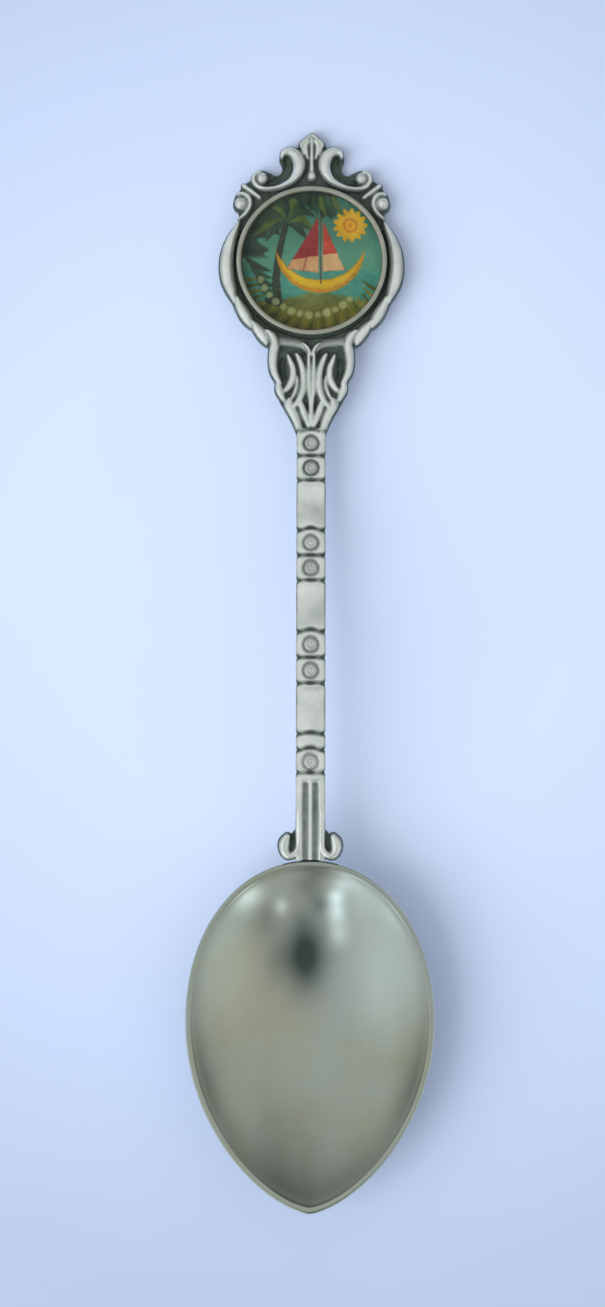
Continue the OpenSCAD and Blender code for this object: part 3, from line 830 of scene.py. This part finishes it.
def paint_palms(p):
    """Dark foliage along the left and the top, and one trunk."""
    dark, mid, light = (22, 48, 38), (38, 72, 48), (78, 98, 42)
    rim = np.hypot(p.x, p.y)
    turn = np.arctan2(p.y, p.x)
    left = unit((-1.2 - p.x) / 0.8) * unit((p.y - 0.2) / 0.6)
    top = unit((p.y - 4.3) / 0.6) * unit((2.9 - p.x) / 0.7)
    leafy = rim - 5.2 + 0.6 * np.sin(11 * turn) + 0.4 * np.sin(29 * turn)
    p.lay(unit(leafy / 0.3) * unit(left + top), dark, 22)
    trunk = [[-3.6, -4.4, .5], [-3.75, -2.2, .42], [-3.5, 0.6, .36], [-3, 3, .33], [-2.7, 4.2, .3]]
    p.fill(p.stroke(trunk), (32, 48, 34), 0.12, 20)
    for k in range(14):
        ring = [[-3.95 + 0.03 * k, -4.2 + 0.6 * k, .05], [-3.3 + 0.035 * k, -4.1 + 0.6 * k, .05]]
        p.fill(p.stroke(ring), (96, 104, 56), 0.1, share=0.5)
    for k in range(13):
        a = math.radians(-35 + 21 * k)
        reach = 3.5 if k % 2 else 2.7
        middle = (-2.7 + 0.55 * reach * math.cos(a), 4.5 + 0.55 * reach * math.sin(a))
        tip = (-2.7 + reach * math.cos(a), 4.4 + 0.8 * reach * math.sin(a) - 0.9)
        frond = [[-2.7, 4.3, .16], [*middle, .4], [*tip, .05]]
        p.fill(p.stroke(frond), (dark, mid, light)[k % 3], 0.2, 22)
        rib = [[-2.7, 4.3, .03], [*middle, .04], [*tip, .02]]
        p.fill(p.stroke(rib), light, 0.1, share=0.5)
    for k in range(5):
        blade = [[-6.9 + 0.5 * k, 0.4 - 1.1 * k, .1], [-5.9 + 0.4 * k, -0.6 - 0.9 * k, .42],
                 [-4.4 + 0.2 * k, -1.0 - 0.8 * k, .05]]
        p.fill(p.stroke(blade), mid if k % 2 else dark, 0.2, 22)
    for k in range(4):
        blade = [[0.2 + 0.7 * k, 6.9, .2], [0.3 + 0.8 * k, 5.9, .28], [0.6 + 0.95 * k, 5.0, .04]]
        p.fill(p.stroke(blade), light if k % 2 else mid, 0.2, 22)


def paint_boat(p):
    """A small crescent boat under a red sail with a pale foot."""
    hull = np.maximum(p.disc(0.9, 1.3, 4.7), -p.disc(0.9, 3.0, 5.0))
    p.fill(hull, (200, 144, 20), 0.14, 20)
    p.fill(np.maximum(hull, p.disc(0.9, 1.5, 4.55)) + 0.1, (224, 186, 38), 0.25, 16)
    p.fill(p.stroke([[0.95, -2.3, .07], [0.95, 4.9, .05]]), (84, 54, 34))
    main = p.polygon([(0.7, 4.8), (0.7, -1.2), (-2.6, -0.8)])
    main = np.maximum(main, -p.disc(-4.4, 3.9, 2.9))
    band = p.y - 0.5 - 0.15 * p.x
    p.fill(main, (146, 40, 42), 0.14, 22)
    p.fill(np.maximum(main, band), (214, 168, 124), 0.14, 20)
    seam = np.maximum(main, np.abs(p.x + 0.4 - 0.25 * (p.y - 1)) - 0.07)
    p.fill(seam, (116, 34, 36), 0.1, share=0.6)
    jib = p.polygon([(1.2, 4.3), (3.5, -0.9), (1.2, -1.1)])
    p.fill(jib, (186, 70, 52), 0.14, 20)
    p.fill(np.maximum(jib, band), (222, 184, 138), 0.14, 18)


SATURATION = 1.22


def paint_picture(x, y):
    """A little harbour picture: palms, sun, sea and a sailing boat, with shells along the shore."""
    p = Painting(x, y)
    paint_sea_and_land(p)
    paint_sun(p)
    paint_palms(p)
    paint_boat(p)
    for k in range(13):
        a = math.radians(200 + 9.6 * k)
        radius = 0.38 + 0.06 * math.sin(3 * k)
        shell = p.disc(5.75 * math.cos(a), 5.75 * math.sin(a), radius)
        p.fill(shell, (190, 196, 146), 0.22, 20, share=0.75)
    grey = p.colour.mean(-1, keepdims=True)
    return np.clip(grey + SATURATION * (p.colour - grey), 0, 255)


def pressed_lattice(n, pitch):
    """Square lattice pressed into the picture's disc, so that its edge is round."""
    c = pitch * np.arange(-n, n + 1)
    X, Y = np.meshgrid(c, c, indexing="ij")
    half = n * pitch
    radius = np.maximum(np.abs(X), np.abs(Y))
    length = np.maximum(np.hypot(X, Y), 1e-9)
    edge_share = (radius / half) ** 2
    press = DOME_R / half * radius / length
    press = press * edge_share + (1 - edge_share) * DOME_R / half * 0.9
    return X * press, Y * press


def build_picture(material):
    """Printed disc: a fine lattice carries the printed colours."""
    n = int(DOME_R / PICTURE_PITCH)
    X, Y = pressed_lattice(n, PICTURE_PITCH)
    top = np.stack([X.ravel(), Y.ravel(), np.full(X.size, PICTURE_Z + PICTURE_T)], -1)
    side = 2 * n + 1
    rim = [i * side for i in range(side)]
    rim += [(side - 1) * side + j for j in range(1, side)]
    rim += [i * side + side - 1 for i in range(side - 2, -1, -1)]
    rim += list(range(side - 2, 0, -1))
    first, m = len(top), len(rim)
    verts = np.vstack([top, top[rim] * [1, 1, 0] + [0, 0, PICTURE_Z]])
    faces = [f[::-1] for f in grid_faces(side, side, wrap=False)]
    faces += [[rim[(k + 1) % m], first + (k + 1) % m, first + k, rim[k]] for k in range(m)]
    faces.append(range(first + m - 1, first - 1, -1))
    obj = new_piece("printed_picture", crest_to_world(verts), faces, material, "picture_disc",
                    smooth=False)
    srgb = paint_picture(verts[:, 0], verts[:, 1]) / 255
    linear = np.where(srgb < 0.04045, srgb / 12.92, ((srgb + 0.055) / 1.055) ** 2.4)
    rgba = np.concatenate([linear, np.ones((len(linear), 1))], 1)
    attr = obj.data.attributes.new("print", "FLOAT_COLOR", "POINT")
    attr.data.foreach_set("color", rgba.astype(np.float32).ravel())


# ---- materials
class Nodes:
    """Short names for building a node tree."""

    def __init__(self, tree):
        self.tree = tree
        self.coord = self.add("ShaderNodeTexCoord")

    def add(self, kind, **values):
        node = self.tree.nodes.new(kind)
        for key, value in values.items():
            setattr(node, key, value)
        return node

    def link(self, output, socket):
        self.tree.links.new(output, socket)

    def put(self, socket, value):
        """Links a node's output to a socket, or sets the socket's own number or colour."""
        if hasattr(value, "is_linked"):
            self.link(value, socket)
        elif isinstance(value, tuple):
            socket.default_value = (*value, 1)
        else:
            socket.default_value = value

    def feed(self, node, **values):
        """Puts values into a node's inputs, with _ for each space in a name."""
        for key, value in values.items():
            self.put(node.inputs[key.replace("_", " ")], value)

    def ramp(self, value, *stops):
        node = self.add("ShaderNodeValToRGB")
        elements = node.color_ramp.elements
        while len(elements) < len(stops):
            elements.new(0.5)
        for element, (at, colour) in zip(elements, stops):
            element.position = at
            element.color = (*colour, 1)
        self.feed(node, Fac=value)
        return node.outputs["Color"]

    def mix(self, fac, a, b, blend="MIX"):
        node = self.add("ShaderNodeMix", data_type="RGBA", blend_type=blend)
        sockets = {s.identifier: s for s in node.inputs}
        for value, key in ((fac, "Factor_Float"), (a, "A_Color"), (b, "B_Color")):
            self.put(sockets[key], value)
        return {s.identifier: s for s in node.outputs}["Result_Color"]

    def math(self, op, *values):
        node = self.add("ShaderNodeMath", operation=op)
        for socket, value in zip(node.inputs, values):
            self.put(socket, value)
        return node.outputs[0]

    def vector_math(self, op, vector, constant):
        node = self.add("ShaderNodeVectorMath", operation=op)
        self.link(vector, node.inputs[0])
        node.inputs[1].default_value = constant
        return node.outputs["Value"]

    def span(self, value, low, high, to_low, to_high):
        node = self.add("ShaderNodeMapRange")
        self.feed(node, From_Min=low, From_Max=high, To_Min=to_low, To_Max=to_high, Value=value)
        return node.outputs["Result"]


class Surface(Nodes):
    """A node material around a Principled shader."""

    def __init__(self, name):
        self.mat = bpy.data.materials.new(name)
        self.mat.use_nodes = True
        super().__init__(self.mat.node_tree)
        self.bsdf = self.tree.nodes["Principled BSDF"]

    def stored(self, name, output="Fac"):
        """What store() keeps for each point of the mesh."""
        return self.add("ShaderNodeAttribute", attribute_name=name).outputs[output]

    def noise(self, scale, detail, roughness=0.55):
        node = self.add("ShaderNodeTexNoise")
        self.feed(node, Scale=scale, Detail=detail, Roughness=roughness)
        self.feed(node, Vector=self.coord.outputs["Object"])
        return node.outputs["Fac"]

    def mottled(self, scale, detail, first, second, roughness=0.55):
        """Two colours in soft patches."""
        return self.ramp(self.noise(scale, detail, roughness), (0.3, first), (0.7, second))

    def uneven(self, scale, detail, low, high):
        """A number that drifts between two values in soft patches."""
        return self.span(self.noise(scale, detail), 0.3, 0.7, low, high)

    def patch(self, centre, inner, outer):
        """1 within the inner distance of a place, 0 beyond the outer one."""
        away = self.vector_math("DISTANCE", self.coord.outputs["Object"], centre)
        return self.span(away, inner, outer, 1, 0)

    def bump(self, height, distance, strength):
        node = self.add("ShaderNodeBump")
        self.feed(node, Distance=distance, Strength=strength, Height=height)
        self.set(Normal=node.outputs["Normal"])

    def set(self, **values):
        self.feed(self.bsdf, **values)


def silver_plate():
    """Polished plate of the bowl: greenish and yellow oxide in small patches, a painted yellower
    reflection on the left and a painted bluish one on the right, a painted dark reflection just
    inside the rim, wiping scratches.
    """
    n = Surface("silver_plate")
    tarnish_and_reflection = n.ramp(n.noise(140, 3), (0.35, (0.62, 0.71, 0.67)), (0.65, (0.61, 0.65, 0.52)))
    # painted reflection tints: a yellower patch on the bowl's left and a bluish one on its right,
    # standing in for what the bowl mirrors
    left_reflection_tint = n.patch((-0.0058, -0.0345, 0.001), 0.0035, 0.0085)
    tarnish_and_reflection = n.mix(n.math("MULTIPLY", left_reflection_tint, 0.5), tarnish_and_reflection, (0.68, 0.65, 0.46))
    right_reflection_tint = n.patch((0.0065, -0.028, 0.003), 0.006, 0.0135)
    tarnish_and_reflection = n.mix(n.math("MULTIPLY", right_reflection_tint, 0.6), tarnish_and_reflection, (0.61, 0.71, 0.78))
    # painted dark reflection in a band just inside the rim
    rim_dark_reflection = n.math("MULTIPLY", n.stored("rim_dark_reflection"), 0.68)
    tarnish_and_reflection = n.mix(rim_dark_reflection, tarnish_and_reflection, (0.16, 0.18, 0.15))
    fine = n.mottled(420, 4, (0.55, 0.62, 0.58), (0.66, 0.74, 0.7))
    n.set(Metallic=1.0, Base_Color=n.mix(0.25, tarnish_and_reflection, fine))
    n.set(Roughness=n.uneven(260, 5, 0.06, 0.15))
    n.bump(n.noise(1800, 3), 0.000003, 0.12)
    return n.mat


def antique_silver():
    """Cast silver: bright ridges, dark patina in the hollows, and the painted shade along the
    outline and beside the cup that the stored patina also carries.
    """
    n = Surface("antique_silver")
    speckle = n.math("MULTIPLY", n.math("SUBTRACT", n.noise(1500, 5), 0.5), 0.3)
    broken = n.math("ADD", n.stored("patina"), speckle)
    bright = n.ramp(n.noise(500, 4), (0.3, (0.76, 0.82, 0.78)), (0.62, (0.95, 0.99, 0.96)))
    dark = n.mottled(900, 4, (0.055, 0.075, 0.064), (0.12, 0.15, 0.128))
    cover = n.span(broken, 0.07, 0.92, 0.0, 1.0)
    n.set(Metallic=n.span(broken, 0.3, 1.0, 0.7, 0.5), Base_Color=n.mix(cover, bright, dark))
    n.set(Roughness=n.span(broken, 0.2, 0.9, 0.16, 0.55))
    n.bump(n.noise(2200, 5), 0.00002, 0.35)
    return n.mat


def cup_metal():
    """Pressed ring: duller, with a fine grain from the press."""
    n = Surface("cup_metal")
    n.set(Metallic=0.7, Base_Color=n.mottled(700, 5, (0.43, 0.44, 0.36), (0.54, 0.54, 0.45)))
    n.set(Roughness=n.uneven(1200, 4, 0.32, 0.5))
    n.bump(n.noise(3000, 4), 0.00002, 0.4)
    return n.mat


def printed_picture():
    """Ink on card: the painted colours, broken by a fine print grain."""
    n = Surface("printed_picture")
    ink = n.stored("print", "Color")
    grain = n.mottled(4200, 3, (0.72, 0.74, 0.7), (1, 1, 1), roughness=0.7)
    n.set(Base_Color=n.mix(0.55, ink, n.mix(1.0, ink, grain, "MULTIPLY")))
    n.set(Roughness=n.uneven(3000, 3, 0.35, 0.5), Specular_IOR_Level=0.15)
    return n.mat


def clear_resin():
    """Clear dome with faint polishing marks."""
    n = Surface("clear_resin")
    n.set(Transmission_Weight=1.0, IOR=1.49, Specular_IOR_Level=0.25)
    n.set(Base_Color=n.mottled(400, 2, (0.97, 0.985, 0.97), (1, 1, 0.99)))
    n.set(Roughness=n.uneven(1500, 3, 0.01, 0.05))
    return n.mat


def dull_solder():
    """Grey solder with a pitted skin."""
    n = Surface("dull_solder")
    n.set(Metallic=0.9, Base_Color=n.mottled(1200, 4, (0.2, 0.21, 0.2), (0.36, 0.37, 0.35)))
    n.set(Roughness=n.uneven(900, 4, 0.4, 0.6))
    n.bump(n.noise(1500, 4), 0.00005, 0.5)
    return n.mat


def set_epoxy():
    """Amber adhesive, cloudy and slightly glossy."""
    n = Surface("set_epoxy")
    n.set(Base_Color=n.mottled(600, 3, (0.3, 0.24, 0.12), (0.42, 0.36, 0.2)))
    n.set(Roughness=n.uneven(900, 3, 0.3, 0.5))
    return n.mat


def dress_cad(node, material):
    """Gives a CAD node that stays in view its own material."""
    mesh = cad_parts[node].data
    mesh.materials.clear()
    mesh.materials.append(material)


# ---- stage, in metres
def add_floor():
    """Pale paper with a painted pool of light: lightest round the spoon, darker away from it."""
    mesh = bpy.data.meshes.new("floor")
    r = 6.0
    mesh.from_pydata([(-r, -r, 0), (r, -r, 0), (r, r, 0), (-r, r, 0)], [], [(0, 1, 2, 3)])
    n = Surface("floor_paper")
    paper = n.mottled(14, 5, (0.60, 0.68, 0.87), (0.63, 0.71, 0.90))
    # painted pool of light: the paper's colour darkens with distance from the spoon
    away = n.vector_math("DISTANCE", n.coord.outputs["Object"], (0, 0.012, 0))
    away = n.span(away, 0.03, 0.13, 0, 1)
    painted_light_pool = n.ramp(away, (0.0, (1, 1, 1)), (0.26, (0.87, 0.89, 0.92)), (0.5, (0.73, 0.75, 0.77)),
                  (1.0, (0.68, 0.7, 0.72)))
    n.set(Base_Color=n.mix(1.0, paper, painted_light_pool, "MULTIPLY"))
    n.set(Roughness=n.uneven(300, 3, 0.75, 0.9), Specular_IOR_Level=0.1)
    mesh.materials.append(n.mat)
    in_scene("floor", mesh)


def add_window(place, size, power, colour):
    """One large soft light. The metal mirrors the room's patches in its place."""
    data = bpy.data.lights.new("window", "AREA")
    data.shape = "RECTANGLE"
    data.size, data.size_y = size
    data.energy = power
    data.color = colour
    light = in_scene("window", data)
    light.location = place
    light.rotation_euler = (-light.location).to_track_quat("-Z", "Y").to_euler()
    light.visible_glossy = False
    light.visible_transmission = False


# Patches of light and shade round the spoon, as the metal mirrors them: direction, width in
# degrees, strength. A negative strength is a dark card.
ROOM_LOBES = [
    ((0, 0.1, 1), 40, 0.02), ((-0.75, -0.55, 0.35), 26, 0.18), ((0.78, -0.6, 0.2), 16, 0.08),
    ((0.85, -0.34, 0.41), 14, 0.08), ((-0.78, -0.25, 0.57), 16, 0.1),
    ((-0.72, -0.69, 0.02), 8, 0.9), ((0.56, -0.81, 0.16), 7, 0.66), ((0.31, -0.84, 0.44), 4, 0.4),
    ((-0.4, -0.91, 0.08), 7, 0.45), ((-0.5, -0.83, 0.24), 10, 0.16),
    ((-0.29, -0.93, 0.22), 5, 0.4), ((-0.26, -0.89, 0.37), 4.5, 0.82),
    ((-0.29, -0.82, 0.5), 5, 0.7), ((-0.34, -0.7, 0.63), 6, 0.4), ((0.06, -0.56, 0.82), 17, -0.45),
    ((0.08, -0.79, 0.6), 8, -0.08), ((-0.1, -0.88, 0.46), 6, -0.2), ((-0.06, -0.99, 0.1), 6, -0.2),
    ((0.5, -0.74, 0.45), 9, -0.15), ((0.44, -0.52, 0.73), 10, -0.1),
    ((0.02, -0.96, 0.28), 8, -0.18), ((0, 0.78, 0.63), 20, -0.18), ((0.5, 0.6, 0.62), 20, -0.1),
    ((0.45, 0.8, 0.4), 16, -0.2), ((-0.45, 0.8, 0.4), 16, -0.2), ((0, 0.95, 0.3), 22, -0.14),
    ((0.97, 0.2, 0.08), 15, -0.26), ((-0.97, 0.2, 0.08), 15, -0.26),
]
ROOM_BASE, ROOM_LEAST = 0.46, 0.075  # strength between the patches, and of the darkest card
ROOM_TINTS = ((0, (0.84, 1, 0.97)), (0.4, (1, 1, 0.94)), (1, (0.91, 1, 1)))
FLOOR_LIGHT, FLOOR_TINT = 0.76, (0.93, 0.97, 1.0)


def lobe(n, towards, width, strength):
    """A soft patch of light: full strength at its middle, 1/e of it at width degrees."""
    axis = np.array(towards, float) / np.linalg.norm(towards)
    dot = n.vector_math("DOT_PRODUCT", n.coord.outputs["Generated"], axis)
    sharp = 1 / (1 - math.cos(math.radians(width)))
    fall = n.math("MULTIPLY_ADD", dot, sharp, -sharp)
    return n.math("MULTIPLY", n.math("EXPONENT", fall), strength)


def add_world():
    """Soft room: even light for the floor and the view, and the patches for what mirrors it."""
    world = bpy.data.worlds.new("studio")
    bpy.context.scene.world = world
    world.use_nodes = True
    n = Nodes(world.node_tree)
    total = ROOM_BASE
    for towards, width, strength in ROOM_LOBES:
        total = n.math("ADD", total, lobe(n, towards, width, strength))
    total = n.math("MAXIMUM", total, ROOM_LEAST)
    room = n.add("ShaderNodeBackground")
    n.feed(room, Strength=total, Color=n.ramp(total, *ROOM_TINTS))
    even = n.add("ShaderNodeBackground")
    n.feed(even, Strength=FLOOR_LIGHT, Color=FLOOR_TINT)
    path = n.add("ShaderNodeLightPath").outputs
    mix = n.add("ShaderNodeMixShader")
    n.link(n.math("MAXIMUM", path["Is Diffuse Ray"], path["Is Camera Ray"]), mix.inputs[0])
    n.link(room.outputs[0], mix.inputs[1])
    n.link(even.outputs[0], mix.inputs[2])
    n.link(mix.outputs[0], n.tree.nodes["World Output"].inputs["Surface"])


CAMERA_H = 0.3  # of a hand-held camera above the spoon
VIEW_H = 0.1392  # what the view's long side covers at the spoon
SENSOR = 36


def add_camera():
    """Straight down on the spoon."""
    data = bpy.data.cameras.new("camera")
    data.sensor_width = SENSOR
    data.lens = SENSOR * CAMERA_H / VIEW_H
    camera = in_scene("camera", data)
    camera.location = (-0.00087, 0.00151, CAMERA_H + 0.003)
    camera.rotation_euler.z = math.radians(0.14)
    bpy.context.scene.camera = camera


bpy.context.scene.view_settings.view_transform = "Standard"
add_camera()
add_floor()
add_world()
add_window((-0.8, -0.35, 0.8), (0.9, 1.2), 11.8, (0.94, 0.97, 1.0))

build_handle(antique_silver())
build_bowl(silver_plate())
build_cup(cup_metal())
build_picture(printed_picture())
build_dome(clear_resin())
dress_cad("solder_joint", dull_solder())
dress_cad("seat_adhesive", set_epoxy())
